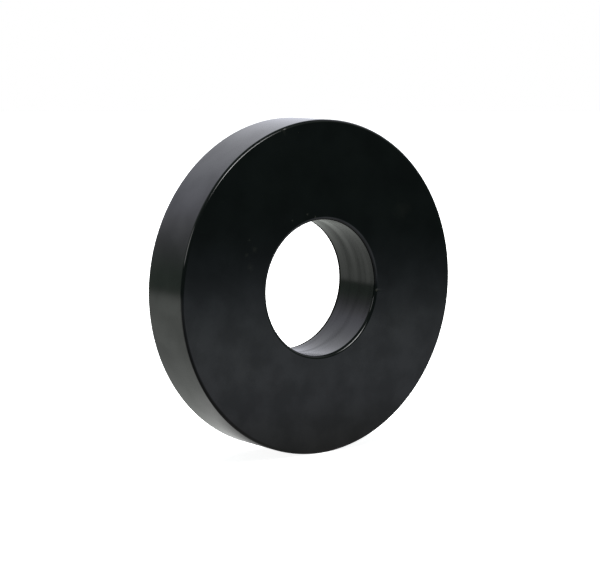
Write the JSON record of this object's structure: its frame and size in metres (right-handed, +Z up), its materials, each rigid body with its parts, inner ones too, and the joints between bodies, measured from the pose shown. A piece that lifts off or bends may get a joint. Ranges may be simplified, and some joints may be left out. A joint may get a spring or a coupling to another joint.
{
  "type": "ring insulator",
  "caption": "Plain thick flat ring of semi-gloss black polymer with a round bore, used as an insulating spacer ring on fence hardware.",
  "frame": {"origin": "middle of the bore, halfway between the two flat faces", "axes": "+Z up, Y along the bore, the front face looks along -Y"},
  "size_m": [0.075, 0.0136, 0.075],
  "materials": {
    "moulded_polymer": "semi-gloss black, moulded"
  },
  "bodies": {
    "root": {"insulator_ring": "moulded_polymer"}
  },
  "joints": []
}
